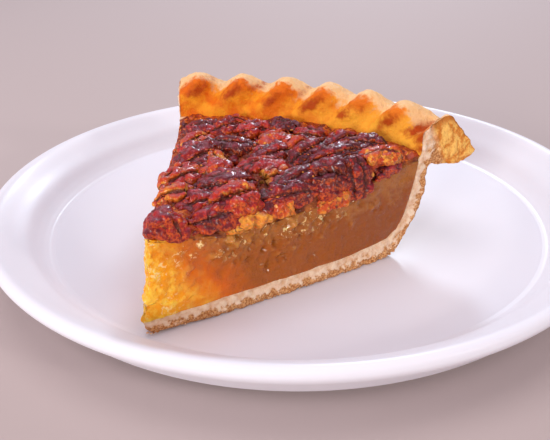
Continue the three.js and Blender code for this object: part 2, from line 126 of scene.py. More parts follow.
# In the order of the CAD nodes pecan_01 to pecan_36.
PECANS = [
    pecan((6.8, -1, 38.6), (80, 0, 4), (25, 13.5, 8.5), PLUM + 0.05, grooves=1),
    pecan((21.5, -11.5, 36.4), (-40, 4, 12), (21.5, 14.5, 6.5), PLUM),
    pecan((29.5, -10.5, 39.6), (-38, 8, 30), (18, 13, 8.5), RED, grooves=1),
    pecan((41, -23.2, 37.8), (-48, 6, 8), (25, 14, 7), PLUM - 0.05),
    pecan((57.5, -29.5, 41.2), (-58, 10, 35), (16, 14, 9), PLUM - 0.1, grooves=1),
    pecan((39, -0.5, 38.6), (-42, 4, 12), (22.5, 14, 8), PLUM),
    pecan((56, -5, 39.2), (-41, -4, -24), (20.5, 14.5, 8.5), PLUM + 0.15),
    pecan((66.5, -36.2, 42), (-120, -62, 10), (14.5, 12, 7.5), DARK + 0.2, out=2),
    pecan((73.5, -26, 41.6), (-45, 5, 10), (26, 11.5, 7.5), PLUM - 0.08),
    pecan((73, -14.5, 40.4), (-12, 6, 48), (22.5, 11.5, 8), PLUM - 0.1),
    pecan((76.5, -41, 42.8), (-56, 0, -12), (18.5, 12, 7), RUST - 0.08),
    pecan((29.8, -16.2, 33.4), (-30, 6, -20), (18.5, 8, 6), AMBER - 0.1, out=2.6),
    pecan((40, -22, 36), (-30, 10, 0), (14, 10.5, 8), RUST - 0.12, span=(-1, 0.5), out=2.2),
    pecan((57, -31.6, 34.2), (-34, 14, 0), (16, 11, 8.5), RUST - 0.15, span=(-0.8, 1), out=2.2),
    pecan((77.5, -43.4, 37), (-30, 16, -10), (12, 7, 5), PLUM, out=2),
    pecan((57, 22, 38.4), (-17, 4, 14), (20.5, 14, 7.5), PLUM + 0.05),
    pecan((68, 16.5, 39), (-74, -3, -12), (24, 13.5, 8), DARK + 0.08),
    pecan((55.5, 13.5, 37.2), (-130, 3, 30), (19.5, 8, 6), RUST + 0.05),
    pecan((38.5, 15.5, 37.8), (-16, -4, 10), (18.5, 12, 7), RED + 0.1),
    pecan((26, 8.5, 37.6), (-50, 6, 0), (14, 10.5, 6.5), RUST - 0.05, span=(-1, 0.4)),
    pecan((25.5, -0.5, 37), (-37, 0, 8), (14, 11, 6), PLUM + 0.05),
    pecan((47.5, 9.5, 38.2), (-35, 5, -14), (14.5, 11, 7), RED, grooves=1),
    pecan((52, -20.5, 39.4), (-23, 6, 6), (18.5, 11, 6.5), PLUM - 0.05),
    pecan((52, -12.5, 38.8), (-20, -8, 20), (13, 9.5, 6.5), RUST, span=(-0.6, 1)),
    pecan((68.5, -1.5, 38.9), (-34, 3, 10), (17.5, 12, 7), PLUM),
    pecan((78.5, 36.5, 38.8), (-67, 4, 12), (16, 12, 7), PLUM, grooves=1),
    pecan((66.5, 30.6, 38.2), (-8, -3, -10), (16, 11.5, 7), RED + 0.1),
    pecan((81, 28, 39.2), (-27, 6, 0), (17.5, 11, 7), PLUM),
    pecan((85.5, 17, 39.4), (-45, 0, 16), (16, 11, 7), PLUM + 0.15),
    pecan((80, 4, 39.2), (-50, 5, -12), (16.5, 11.5, 7), RED + 0.12, grooves=1),
    pecan((92.5, 8.5, 40.2), (-80, 0, -20), (17.5, 10, 7), DARK + 0.1),
    pecan((89, -6, 40), (-94, 6, 10), (15, 11, 7), PLUM + 0.12),
    pecan((78.5, -6.5, 39.4), (-14, 0, 10), (13, 9.5, 6.5), RED + 0.12, span=(-1, 0.6)),
    pecan((86.5, -20.5, 41), (-24, 4, 0), (16, 11, 7), PLUM),
    pecan((86.5, -31.5, 42.4), (-66, -6, 14), (15.5, 11, 7), DARK + 0.1),
    pecan((89, 30, 39.2), (-60, 10, -10), (14, 10.5, 6.5), RED),
]
PECAN_SQUEEZE = 8.0  # the stretch before a cut face over which a nut is pressed together
CRUMB_SQUEEZE = 4.0  # the same for the bits between the nuts
PECAN_DROOP = 2.2  # how far it hangs down over the cut face
PECAN_BACK = 0.6  # share of the thickness that the back takes up
PECAN_FULLNESS = 2.4  # how late its outline narrows
PECAN_BLUNT = 0.88  # how much blunter its far end is than its near one
PECAN_STEEP = 45  # pitch beyond which a nut stands on its edge


# -------------------------------- small maths
def lattice(x, y, z, seed):
    """A fixed random value from -1 to 1 for each whole-number point."""
    mixed = (x * 374761393 + y * 668265263 + z * 362437 + seed * 974634777) & 0xFFFFFFFF
    mixed = ((mixed ^ (mixed >> 13)) * 1274126177) & 0xFFFFFFFF
    return ((mixed ^ (mixed >> 16)) & 0xFFFF) / 32767.5 - 1


def noise(points, size, seed=0):
    """Smooth noise from -1 to 1 at points in millimetres, with lumps of about that size."""
    scaled = points / size
    base = np.floor(scaled).astype(np.int64)
    share = scaled - base
    share = share * share * (3 - 2 * share)
    total = 0
    for i in (0, 1):
        for j in (0, 1):
            for k in (0, 1):
                weight = 1
                for axis, step in enumerate((i, j, k)):
                    weight = weight * (share[:, axis] if step else 1 - share[:, axis])
                total = total + weight * lattice(base[:, 0] + i, base[:, 1] + j, base[:, 2] + k, seed)
    return total


def rough(points, size, octaves, seed=0):
    """Noise with finer noise on it, each octave half as large and half as strong."""
    return sum(noise(points, size / 2**n, seed + n) / 2**n for n in range(octaves))


def lumpy(points, layers):
    """Lumps on lumps: the height, size, octaves and seed of each layer."""
    return sum(height * rough(points, *layer) for height, *layer in layers)


def smooth(value, low, high):
    """A soft step from 0 at low to 1 at high."""
    share = np.clip((value - low) / (high - low), 0, 1)
    return share * share * (3 - 2 * share)


def along(points, x):
    """Reads straight lines through pairs of numbers."""
    return np.interp(x, [p[0] for p in points], [p[1] for p in points])


def curve(points, t):
    """Points a share t of the way through stations, on a smooth curve through them all."""
    stations = np.array(points, float)
    padded = np.vstack([2 * stations[0] - stations[1], stations, 2 * stations[-1] - stations[-2]])
    at = np.asarray(t) * (len(points) - 1)
    first = np.minimum(at.astype(int), len(points) - 2)
    s = (at - first)[:, None]
    p0, p1, p2, p3 = (padded[first + n] for n in range(4))
    return 0.5 * (
        2 * p1 + (p2 - p0) * s + (2 * p0 - 5 * p1 + 4 * p2 - p3) * s**2 + (3 * p1 - p0 - 3 * p2 + p3) * s**3
    )


# -------------------------------- meshes
def make_object(name, points, faces, material, attributes=None):
    """A mesh object from points in millimetres, with a float attribute for each name given."""
    mesh = bpy.data.meshes.new(name)
    mesh.from_pydata((points * MM).tolist(), [], faces.tolist())
    for key, values in (attributes or {}).items():
        layer = mesh.attributes.new(key, "FLOAT", "POINT")
        layer.data.foreach_set("value", np.asarray(values, np.float32))
    mesh.polygons.foreach_set("use_smooth", [True] * len(mesh.polygons))
    mesh.materials.append(material)
    mesh.validate()
    mesh.update()
    result = bpy.data.objects.new(name, mesh)
    bpy.context.scene.collection.objects.link(result)
    return result


def box_grid(steps, tip=False, start=0, end=1):
    """The skin of a grid with that many corners along u, v and w: (u, v, w) rows and triangles.

    u runs from start to end, v and w from 0 to 1. tip joins the corners at the start of u.
    """
    us, vs, ws = np.linspace(start, end, steps[0]), np.linspace(0, 1, steps[1]), np.linspace(0, 1, steps[2])
    nu, nv, nw = (count - 1 for count in steps)
    i, j, k = np.meshgrid(range(nu + 1), range(nv + 1), range(nw + 1), indexing="ij")
    if tip:
        j = np.where(i == 0, 0, j)
    on_skin = (i == 0) | (i == nu) | (j == 0) | (j == nv) | (k == 0) | (k == nw)
    key = (i * (nv + 1) + j) * (nw + 1) + k
    kept = np.unique(key[on_skin])
    index = np.searchsorted(kept, np.minimum(key, kept[-1]))
    corners = np.stack([
        us[kept // ((nv + 1) * (nw + 1))],
        vs[kept // (nw + 1) % (nv + 1)],
        ws[kept % (nw + 1)],
    ], 1)
    triangles = []

    def side(grid, outward):
        a, b, c, d = grid[:-1, :-1], grid[1:, :-1], grid[1:, 1:], grid[:-1, 1:]
        quads = np.stack([a, b, c, d] if outward else [a, d, c, b], -1).reshape(-1, 4)
        triangles.append(quads[:, [0, 1, 2]])
        triangles.append(quads[:, [0, 2, 3]])

    side(index[:, :, nw], True)
    side(index[:, :, 0], False)
    side(index[:, nv, :], False)
    side(index[:, 0, :], True)
    side(index[nu, :, :], True)
    if not tip:
        side(index[0, :, :], False)
    faces = np.concatenate(triangles)
    whole = (faces[:, 0] != faces[:, 1]) & (faces[:, 1] != faces[:, 2]) & (faces[:, 2] != faces[:, 0])
    return corners, faces[whole]


def join(pieces):
    """One mesh's points and faces from those of several."""
    starts = np.cumsum([0] + [len(points) for points, _ in pieces[:-1]])
    faces = [faces + start for (_, faces), start in zip(pieces, starts)]
    return np.vstack([points for points, _ in pieces]), np.vstack(faces)


def vertex_normals(points, faces):
    """The direction that the surface faces at each point."""
    a, b, c = (points[faces[:, n]] for n in range(3))
    cross = np.cross(b - a, c - a)
    normals = np.zeros_like(points)
    for n in range(3):
        np.add.at(normals, faces[:, n], cross)
    return normals / np.maximum(np.linalg.norm(normals, axis=1, keepdims=True), 1e-9)


SLICE_TO_PLATE = np.array(
    Matrix.Translation((*SLICE_TIP, WELL_HEIGHT + REST_GAP)) @ Matrix.Rotation(SLICE_HEADING, 4, "Z")
)


def to_plate(points):
    """Points of the slice's frame in the plate's."""
    return points @ SLICE_TO_PLATE[:3, :3].T + SLICE_TO_PLATE[:3, 3]


# -------------------------------- the slice's own shape
def slice_points(radius, angle, z):
    """Points of the slice's frame from a distance from the tip, an angle and a height."""
    lean = along(TIP_LEAN, z) * np.exp(-radius / TIP_LEAN_REACH)
    to_right = np.maximum(0, angle / RIGHT_FACE)
    share = np.sin(np.pi * np.minimum(1, radius / BELLY_LENGTH)) * np.maximum(0, 1 - z / BELLY_HEIGHT)
    belly = BELLY * share * to_right**2
    x = radius * np.cos(angle) - lean * math.cos(RIGHT_FACE) + belly * math.sin(RIGHT_FACE)
    y = radius * np.sin(angle) - lean * math.sin(RIGHT_FACE) - belly * math.cos(RIGHT_FACE)
    return np.stack([x, y, z], 1)


def turned_by(v):
    """The angle a share v of the way from the right cut to the left one."""
    return RIGHT_FACE + (LEFT_FACE - RIGHT_FACE) * v


def across(right, left, radius, angle):
    """A height between the ones along the right and the left cut."""
    share = (angle - RIGHT_FACE) / (LEFT_FACE - RIGHT_FACE)
    return along(right, radius) * (1 - share) + along(left, radius) * share


def wall_radius(z):
    """How far what the crust holds reaches at a height."""
    inside = CRUST_INSIDE[5:12]
    return np.interp(z, [p[1] for p in inside], [p[0] for p in inside]) - GAP


def floor_height(radius):
    """Top of the crust's floor."""
    return along(CRUST_INSIDE[:7], radius)


def layer_top(radius, angle):
    """Top of the bed of nuts."""
    return across(LAYER_RIGHT, LAYER_LEFT, radius, angle)


def ridge(angle):
    """1 on a crimp ridge and -1 in the groove between two."""
    ordered = np.radians(RIDGE_ANGLES[::-1])
    turn = np.interp(angle, ordered, np.arange(len(ordered)))
    return 2 * (0.5 + 0.5 * np.cos(2 * np.pi * turn)) ** RIDGE_NARROWNESS - 1


def rim_dip(u, angle):
    """How far the top of the rim is sunk in beside the right cut, at a share u of the section."""
    within = smooth(u, *RIM_DIP_STARTS) * (1 - smooth(u, *RIM_DIP_ENDS))
    return RIM_DIP * smooth(-angle, *RIM_DIP_ANGLES) * within


# The two cut faces: their v in a box grid, and which way each one faces.
CUT_SIDES = (
    (0, np.array([math.sin(RIGHT_FACE), -math.cos(RIGHT_FACE), 0])),
    (1, np.array([-math.sin(LEFT_FACE), math.cos(LEFT_FACE), 0])),
)


def cut_share(v):
    """1 on the two cut faces and 0 elsewhere."""
    return ((v == 0) | (v == 1)).astype(float)


def push_cut_faces(points, v, depth):
    """Moves the points of the two cut faces in or out by a depth."""
    for side, normal in CUT_SIDES:
        points = points + np.where(v == side, depth, 0)[:, None] * normal
    return points


# -------------------------------- materials
class Material:
    """A node material, made by naming each node's kind and its inputs."""

    def __init__(self, name):
        self.data = bpy.data.materials.new(name)
        self.data.use_nodes = True
        self.tree = self.data.node_tree
        self.tree.nodes.clear()
        self.output = self.tree.nodes.new("ShaderNodeOutputMaterial")

    def node(self, kind, inputs=None, **settings):
        made = self.tree.nodes.new(kind)
        for key, value in settings.items():
            setattr(made, key, value)
        for key, value in (inputs or {}).items():
            if isinstance(value, bpy.types.NodeSocket):
                self.tree.links.new(value, made.inputs[key])
            else:
                made.inputs[key].default_value = value
        return made

    def attribute(self, name):
        return self.node("ShaderNodeAttribute", attribute_name=name).outputs["Fac"]

    def position(self):
        return self.node("ShaderNodeTexCoord").outputs["Object"]

    def noise(self, size, detail=3, distortion=0.0):
        """Noise from 0 to 1 with lumps of about that size in millimetres."""
        inputs = {
            "Vector": self.position(), "Scale": 1 / (size * MM), "Detail": detail, "Roughness": 0.55,
            "Distortion": distortion,
        }
        return self.node("ShaderNodeTexNoise", inputs).outputs["Fac"]

    def maths(self, operation, a, b=0.0):
        return self.node("ShaderNodeMath", {0: a, 1: b}, operation=operation).outputs[0]

    def ramp(self, value, low, high, to_low=0.0, to_high=1.0):
        """A soft step from to_low where the value is low to to_high where it is high."""
        inputs = {"Value": value, "From Min": low, "From Max": high, "To Min": to_low, "To Max": to_high}
        made = self.node("ShaderNodeMapRange", inputs, interpolation_type="SMOOTHSTEP")
        return made.outputs[0]

    def mix(self, share, a, b):
        made = self.node("ShaderNodeMix", data_type="RGBA")
        for socket, value in ((made.inputs[0], share), (made.inputs[6], a), (made.inputs[7], b)):
            if isinstance(value, bpy.types.NodeSocket):
                self.tree.links.new(value, socket)
            else:
                socket.default_value = (*value, 1) if isinstance(value, tuple) else value
        return made.outputs[2]

    def bump(self, height, depth, below=None):
        """Bump of that depth in millimetres."""
        inputs = {"Height": height, "Distance": depth * MM, "Strength": 1.0}
        if below is not None:
            inputs["Normal"] = below
        return self.node("ShaderNodeBump", inputs).outputs[0]

    def finish(self, **inputs):
        """Ends in a principled shader with the inputs named, and gives the material."""
        named = {key.replace("_", " "): value for key, value in inputs.items()}
        shader = self.node("ShaderNodeBsdfPrincipled", named)
        self.tree.links.new(shader.outputs[0], self.output.inputs[0])
        return self.data


def plate_material():
    m = Material("plate_glaze")
    colour = m.mix(m.noise(40, 2), (0.81, 0.79, 0.86), (0.85, 0.83, 0.90))
    return m.finish(
        Base_Color=colour, Roughness=0.42, Coat_Weight=0.12, Coat_Roughness=0.22, Specular_IOR_Level=0.2,
        Subsurface_Weight=0.08, Subsurface_Radius=(0.004, 0.003, 0.003),
        Normal=m.bump(m.noise(14, 2), 0.06),
    )


def crust_material():
    m = Material("crust")
    run, depth, cut, wave = (m.attribute(n) for n in ("run", "depth", "cut", "wave"))
    coarse, medium, fine = m.noise(7, 3), m.noise(2.2, 4), m.noise(0.6, 3)
    # baked skin: golden inside the rim, deep orange under the ridges, a painted highlight in pale cream
    # along the crest, darker spots
    gold = m.mix(m.ramp(coarse, 0.35, 0.65), (0.74, 0.14, 0.002), (0.90, 0.33, 0.016))
    gold = m.mix(m.ramp(m.attribute("turn"), 0.75, 0.1, 0, 0.75), gold, (1.0, 0.50, 0.05))
    arch = m.maths("MULTIPLY", m.ramp(run, 0.71, 0.742), m.ramp(wave, -0.3, 0.7, 0.1, 0.8))
    gold = m.mix(arch, gold, (0.74, 0.13, 0.003))
    # painted highlight: the pale band along the crest
    crest_start = m.maths("ADD", run, m.ramp(medium, 0.3, 0.7, -0.012, 0.012))
    crest_start = m.maths("ADD", crest_start, m.ramp(wave, -1, 1, 0.016, -0.012))
    crest_start = m.ramp(crest_start, 0.752, 0.785)
    skin = m.mix(crest_start, gold, m.mix(medium, (0.86, 0.44, 0.14), (0.95, 0.66, 0.38)))
    over = m.ramp(run, 0.85, 0.93)
    skin = m.mix(over, skin, m.mix(coarse, (0.72, 0.30, 0.06), (0.88, 0.50, 0.18)))
    # darker red-brown where the listed spots lie
    spot_colour = m.mix(medium, (0.34, 0.035, 0.002), (0.56, 0.085, 0.004))
    spot = m.maths("ADD", m.attribute("spot"), m.ramp(medium, 0.3, 0.7, -0.22, 0.22))
    skin = m.mix(m.ramp(spot, 0.1, 0.95), skin, spot_colour)
    # outside and underside of the wall
    outside = m.mix(m.ramp(coarse, 0.4, 0.62), (0.80, 0.50, 0.25), (0.66, 0.27, 0.07))
    skin = m.mix(m.ramp(depth, 0.55, 0.45), skin, outside)
    # the cut: cream dough, granular brown towards the outside
    cream = m.mix(m.ramp(medium, 0.3, 0.7), (0.74, 0.43, 0.24), (0.92, 0.70, 0.51))
    toasted = m.mix(m.ramp(fine, 0.35, 0.65), (0.40, 0.13, 0.03), (0.78, 0.42, 0.18))
    edge = m.maths("ADD", depth, m.ramp(medium, 0.3, 0.7, -0.22, 0.22))
    dough = m.mix(m.ramp(edge, 0.52, 0.34), cream, toasted)
    flange = m.mix(m.ramp(medium, 0.38, 0.62), (0.70, 0.22, 0.025), (0.98, 0.56, 0.14))
    flange = m.mix(m.ramp(depth, 0.8, 0.98), flange, (0.55, 0.18, 0.03))
    dough = m.mix(m.ramp(run, 0.76, 0.80), dough, flange)
    colour = m.mix(cut, skin, dough)
    bump = m.bump(fine, 0.35, m.bump(m.maths("MULTIPLY", medium, m.ramp(cut, 0, 1, 0.6, 1.0)), 1.1))
    return m.finish(
        Base_Color=colour, Roughness=0.6, Specular_IOR_Level=0.18, Subsurface_Weight=0.12,
        Subsurface_Radius=(0.003, 0.0015, 0.0008), Normal=bump,
    )


def filling_material():
    m = Material("filling")
    run, height, wet = m.attribute("run"), m.attribute("height"), m.attribute("wet")
    wide, medium, fine = m.noise(9, 2), m.noise(2.4, 3), m.noise(0.8, 2)
    # painted glow of light shining through the thin tip: yellow at the tip, then orange, then brown, by the
    # distance from the tip
    reach = m.maths("ADD", run, m.ramp(wide, 0.3, 0.7, -3, 3))
    reach = m.maths("ADD", reach, m.ramp(height, 0, 1, -6, 3))
    painted_glow = m.mix(m.ramp(medium, 0.4, 0.62), (0.90, 0.34, 0.003), (0.98, 0.55, 0.05))
    colour = m.mix(m.ramp(reach, 2, 20), painted_glow, (0.68, 0.125, 0.001))
    colour = m.mix(m.ramp(reach, 14, 32), colour, (0.35, 0.085, 0.004))
    colour = m.mix(m.ramp(reach, 36, 92), colour, (0.28, 0.063, 0.003))
    upper = m.maths("ADD", height, m.ramp(medium, 0.3, 0.7, -0.14, 0.14))
    upper = m.maths("MULTIPLY", m.ramp(upper, 0.5, 0.9), m.ramp(run, 8, 22))
    clouded = m.mix(wide, (0.28, 0.08, 0.016), (0.58, 0.24, 0.04))
    colour = m.mix(m.maths("MULTIPLY", upper, 0.55), colour, clouded)
    colour = m.mix(m.maths("MULTIPLY", wet, 0.35), colour, (0.72, 0.33, 0.06))
    # painted glints: pale flecks in clusters, along the wet tip and below the nuts
    cluster = m.ramp(m.noise(6, 2), 0.46, 0.56)
    painted_glint = m.maths("MULTIPLY", m.ramp(m.noise(1.3, 3, distortion=0.6), 0.54, 0.63), cluster)
    near_tip = m.ramp(run, 16, 5)
    below_nuts = m.maths("MULTIPLY", m.ramp(height, 0.55, 0.75), m.ramp(run, 76, 60))
    painted_glint = m.maths("MULTIPLY", painted_glint, m.maths("MAXIMUM", near_tip, below_nuts))
    colour = m.mix(m.maths("MULTIPLY", painted_glint, 0.75), colour, (1.0, 0.74, 0.34))
    bump = m.bump(fine, 0.3, m.bump(medium, 0.9))
    return m.finish(
        Base_Color=colour, Roughness=m.ramp(medium, 0.3, 0.7, 0.12, 0.3), Subsurface_Weight=0.3,
        Subsurface_Radius=(0.006, 0.002, 0.0006), Subsurface_Scale=1.0, Specular_IOR_Level=0.05,
        Coat_Weight=0.9, Coat_Roughness=0.05, Coat_IOR=1.38, Normal=bump,
    )


def bed_material():
    m = Material("pecan_bed")
    cut, low = m.attribute("cut"), m.attribute("low")
    wide, medium, fine = m.noise(6, 3), m.noise(1.8, 4), m.noise(0.6, 3)
    # glaze from above, darkened with painted shade where it lies deep between the nuts; at the cuts torn,
    # with paler bits of nut
    colour = m.mix(m.ramp(wide, 0.35, 0.65), (0.16, 0.012, 0.008), (0.46, 0.055, 0.010))
    colour = m.mix(m.ramp(medium, 0.48, 0.62), colour, (0.68, 0.15, 0.012))
    # painted shade between the nuts
    colour = m.mix(m.maths("MULTIPLY", low, 0.75), colour, (0.05, 0.005, 0.004))
    torn = m.mix(m.ramp(wide, 0.4, 0.62), (0.15, 0.022, 0.006), (0.44, 0.11, 0.012))
    torn = m.mix(m.ramp(medium, 0.62, 0.70, 0, 0.7), torn, (0.75, 0.34, 0.07))
    colour = m.mix(cut, colour, torn)
    bump = m.bump(fine, 0.3, m.bump(medium, 0.9))
    return m.finish(
        Base_Color=colour, Roughness=m.ramp(fine, 0.3, 0.7, 0.2, 0.5), Specular_IOR_Level=0.25,
        Coat_Weight=0.2, Coat_Roughness=0.06, Subsurface_Weight=0.05,
        Subsurface_Radius=(0.003, 0.0008, 0.0004), Normal=bump,
    )


NUT_COLOURS = [
    (DARK, (0.055, 0.004, 0.008)),
    (PLUM, (0.17, 0.008, 0.014)),
    (RED, (0.50, 0.016, 0.009)),
    (RUST, (0.62, 0.085, 0.007)),
    (AMBER, (0.90, 0.38, 0.040)),
]


def pecan_material():
    m = Material("pecan")
    hue, crease, flesh, up, low = (m.attribute(n) for n in ("hue", "crease", "flesh", "up", "low"))
    wide, medium, fine, speck = m.noise(5, 3), m.noise(1.5, 3), m.noise(0.45, 3), m.noise(0.9, 2)
    shade = m.maths("ADD", hue, m.ramp(wide, 0.3, 0.7, -0.18, 0.17))
    # colour by facing: the sides turn more orange and redder than the tops, partly the glaze's grain on the
    # sides and partly painted light, the tops being left for the painted sheen
    orange = m.maths("MULTIPLY", m.ramp(medium, 0.52, 0.70), m.ramp(up, 0.95, 0.4, 0.16, 0.42))
    shade = m.maths("ADD", shade, orange)
    shade = m.maths("ADD", shade, m.ramp(up, 0.7, 0.1, 0, 0.16))  # redder on the sides
    ramp = m.node("ShaderNodeValToRGB", {"Fac": shade})
    stops = ramp.color_ramp.elements
    while len(stops) < len(NUT_COLOURS):
        stops.new(0.5)
    for stop, (place, colour) in zip(stops, NUT_COLOURS):
        stop.position = place
        stop.color = (*colour, 1)
    # a painted lilac sheen on the upward faces (a painted reflection of a bluish light), grains on the
    # sides, creases darkened with painted shade, bare flesh where a nut is broken
    skin = m.mix(m.ramp(up, 0.6, 1.0, 0, 0.4), ramp.outputs["Color"], (0.24, 0.05, 0.10))
    grains = m.mix(m.ramp(speck, 0.42, 0.58), (0.13, 0.010, 0.004), (0.72, 0.13, 0.012))
    skin = m.mix(m.ramp(up, 0.65, 0.1, 0, 0.5), skin, grains)
    # painted shade: the creases and the valleys of the folds go nearly black
    skin = m.mix(m.ramp(crease, 0.1, 0.8, 0, 0.8), skin, (0.055, 0.007, 0.005))
    meat = m.mix(m.ramp(medium, 0.35, 0.65), (0.50, 0.12, 0.015), (0.86, 0.40, 0.06))
    colour = m.mix(flesh, skin, meat)
    # painted shade: nearly black where a point lies deep between the nuts
    colour = m.mix(m.maths("MULTIPLY", low, 0.92), colour, (0.034, 0.003, 0.003))
    bump = m.bump(speck, 0.5, m.bump(medium, 0.6))
    return m.finish(
        Base_Color=colour, Roughness=m.ramp(fine, 0.3, 0.7, 0.25, 0.5), Specular_IOR_Level=0.12,
        Coat_Weight=0.7, Coat_Roughness=0.2, Coat_IOR=1.42, Subsurface_Weight=0.05,
        Subsurface_Radius=(0.003, 0.0008, 0.0004), Normal=bump,
    )


def floor_material():
    m = Material("floor")
    return m.finish(Base_Color=(0.52, 0.43, 0.42, 1), Roughness=0.7, Specular_IOR_Level=0.1)


# -------------------------------- plate
PLATE_RINGS = 220
PLATE_TURNS = 288


def make_plate(material):
    section = curve(PLATE_SECTION, np.linspace(0, 1, PLATE_RINGS))
    section[:, 0] = np.maximum(section[:, 0], 0)
    turns = np.linspace(0, 2 * np.pi, PLATE_TURNS, endpoint=False)
    inner = section[1:-1]
    rings = np.stack([
        np.outer(inner[:, 0], np.cos(turns)),
        np.outer(inner[:, 0], np.sin(turns)),
        np.repeat(inner[:, 1:], PLATE_TURNS, 1),
    ], -1).reshape(-1, 3)
    points = np.vstack([rings, [0, 0, section[0, 1]], [0, 0, section[-1, 1]]])
    grid = np.arange(len(rings)).reshape(len(inner), PLATE_TURNS)
    after = np.roll(grid, -1, 1)
    a, b, c, d = grid[:-1], after[:-1], after[1:], grid[1:]
    sides = np.stack([a, b, c, d], -1).reshape(-1, 4)
    bottom, top = len(rings), len(rings) + 1
    low = np.stack([np.full(PLATE_TURNS, bottom), after[0], grid[0]], -1)
    high = np.stack([np.full(PLATE_TURNS, top), grid[-1], after[-1]], -1)
    faces = np.concatenate([sides[:, [0, 1, 2]], sides[:, [0, 2, 3]], low, high])
    plate = make_object("plate_china", points, faces, material)
    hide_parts("plate")
    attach(plate, "root")


# -------------------------------- crust
def rim_spot_strength(angle, z):
    """How strong the darker spots inside the rim are, from 0 to 1."""
    total = 0
    for spot_angle, height, half_width, half_height, strength in RIM_SPOTS:
        across_spot = (np.degrees(angle) - spot_angle + RIM_SPOT_SLANT * (z - height)) / half_width
        total = np.maximum(total, strength * np.exp(-(across_spot**2) - ((z - height) / half_height) ** 2))
    return total


# Lumps of the baked skin, of the crimped rim and of the flange's torn edge: height, size, octaves and seed.
SKIN_LUMPS = [(0.55, 8, 2, 11), (0.35, 2.6, 2, 12)]
RIM_LUMPS = [(0.45, 7, 2, 13), (0.28, 2.2, 3, 14)]
TORN_LUMPS = [(0.9, 3.2, 2, 23), (0.5, 1.4, 2, 24)]
# Corners of the two stretches of the crust along, around and through it: coarse around the slice where the
# floor and the wall are plain, fine along the crimped rim.
WALL_STEPS = (330, 26, 17)
RIM_STEPS = (120, 250, 17)
CRUST_JOINT = RIM_FOOT + 0.005
# The sharp corner of the wedge is rounded off by this much, over this distance from it.
TIP_ROUNDING = 2.2
TIP_ROUNDING_REACH = 1.8


def crust_piece(start, end, steps, tip):
    """A stretch of the pastry: u along its section, v around the slice, w through its thickness."""
    corners, faces = box_grid(steps, tip, start, end)
    u, v, w = corners.T
    angle = turned_by(v)
    outside, inside = curve(CRUST_OUTSIDE, u), curve(CRUST_INSIDE, u)
    outside[:, 1] = np.maximum(outside[:, 1], 0)
    section = outside + (inside - outside) * w[:, None]
    crimp = smooth(u, RIM_FOOT, RIM_CREST)
    climb = np.clip((u - RIM_FOOT) / (RIM_CREST - RIM_FOOT), 0, 1)
    wave = ridge(angle + RIDGE_LEAN * (climb - 1))
    radius = section[:, 0] - RIDGE_RADIAL * wave * crimp
    z = section[:, 1] + RIDGE_RISE * wave * crimp * w - rim_dip(u, angle) * w
    points = slice_points(np.maximum(radius, 0), angle, z)
    bare = np.where(outside[:, 1] > 1, np.maximum(crimp, 1 - w), 0)
    radius = radius + lumpy(points, SKIN_LUMPS) * bare
    z = z + lumpy(points, RIM_LUMPS) * crimp
    points = slice_points(np.maximum(radius, 0), angle, z)
    # crumb of the cut: rounded along its edges, ragged towards the outside
    rim = np.minimum(w, 1 - w)
    ragged = 1 - smooth(w, 0.25, 0.5) * (1 - crimp)
    crumb = (0.2 + 0.3 * ragged) * rough(points, 1.9, 3, 21) + 0.3 * rough(points, 4.5, 2, 22)
    rounding = 0.55 * (1 - smooth(rim, 0, 0.16))
    points = push_cut_faces(points, v, crumb - rounding - 0.1 + 0.3 * ragged)
    points[:, 0] += TIP_ROUNDING * np.exp(-radius / TIP_ROUNDING_REACH)
    # torn edge of the flange
    torn = smooth(u, 0.9, 1) * lumpy(points, TORN_LUMPS)
    points = points + torn[:, None] * [math.cos(RIGHT_FACE), math.sin(RIGHT_FACE), -0.3]
    attributes = {
        "run": u, "turn": v, "depth": w, "cut": cut_share(v), "spot": rim_spot_strength(angle, z) * smooth(w, 0.6, 1),
        "wave": wave * crimp,
    }
    return points, faces, attributes


CRUMB_COUNT = 300
CRUMB_SIZE = (0.6, 1.9)
CRUMB_DEPTHS = (0.02, 0.36)  # shares of the pastry's thickness, from its outside


def crust_crumbs():
    """Crumbs that cling to the toasted side of the cut faces, most of them along the floor."""
    rng = np.random.default_rng(3)
    blocks = []
    for i in range(CRUMB_COUNT):
        u = rng.uniform(0.0, 0.3) if i % 8 else rng.uniform(0.3, 0.62)
        w = rng.uniform(*CRUMB_DEPTHS)
        v = 0.0 if i % 4 else 1.0
        outside, inside = curve(CRUST_OUTSIDE, [u])[0], curve(CRUST_INSIDE, [u])[0]
        radius, z = outside + (inside - outside) * w
        size = rng.uniform(*CRUMB_SIZE) * rng.uniform(0.5, 1)
        z = max(z, 0.45 * size)
        place = slice_points(np.array([radius]), np.array([turned_by(v)]), np.array([z]))[0]
        block, block_faces = lump(rng, size, 4)
        blocks.append((block + place - CUT_SIDES[int(v)][1] * 0.15 * size, block_faces))
    points, faces = join(blocks)
    points[:, 2] = np.maximum(points[:, 2], -REST_GAP / 2)
    return points, faces


def make_crust(material):
    pieces = [crust_piece(0, CRUST_JOINT, WALL_STEPS, True), crust_piece(CRUST_JOINT, 1, RIM_STEPS, False)]
    points, faces = join([piece[:2] for piece in pieces])
    attributes = {key: np.concatenate([piece[2][key] for piece in pieces]) for key in pieces[0][2]}
    crust = make_object("pastry", to_plate(points), faces, material, attributes)
    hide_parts("crust")
    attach(crust, "root")
    points, faces = crust_crumbs()
    count = len(points)
    attributes = {
        "run": np.full(count, 0.3), "spot": np.zeros(count), "cut": np.ones(count), "turn": np.ones(count),
        "wave": np.zeros(count),
        "depth": np.repeat(np.random.default_rng(4).uniform(0, 0.5, CRUMB_COUNT), count // CRUMB_COUNT),
    }
    crumbs = make_object("pastry_crumbs", to_plate(points), faces, material, attributes)
    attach(crumbs, "root")


# -------------------------------- filling
FILLING_STEPS = (330, 12, 110)
SWELL = [(0.5, 9, 2, 31), (0.2, 2.4, 2, 32)]
TIP_LUMPS = 0.75  # relief of the wet tip, dying away over the reach below
TIP_LUMPS_REACH = 14
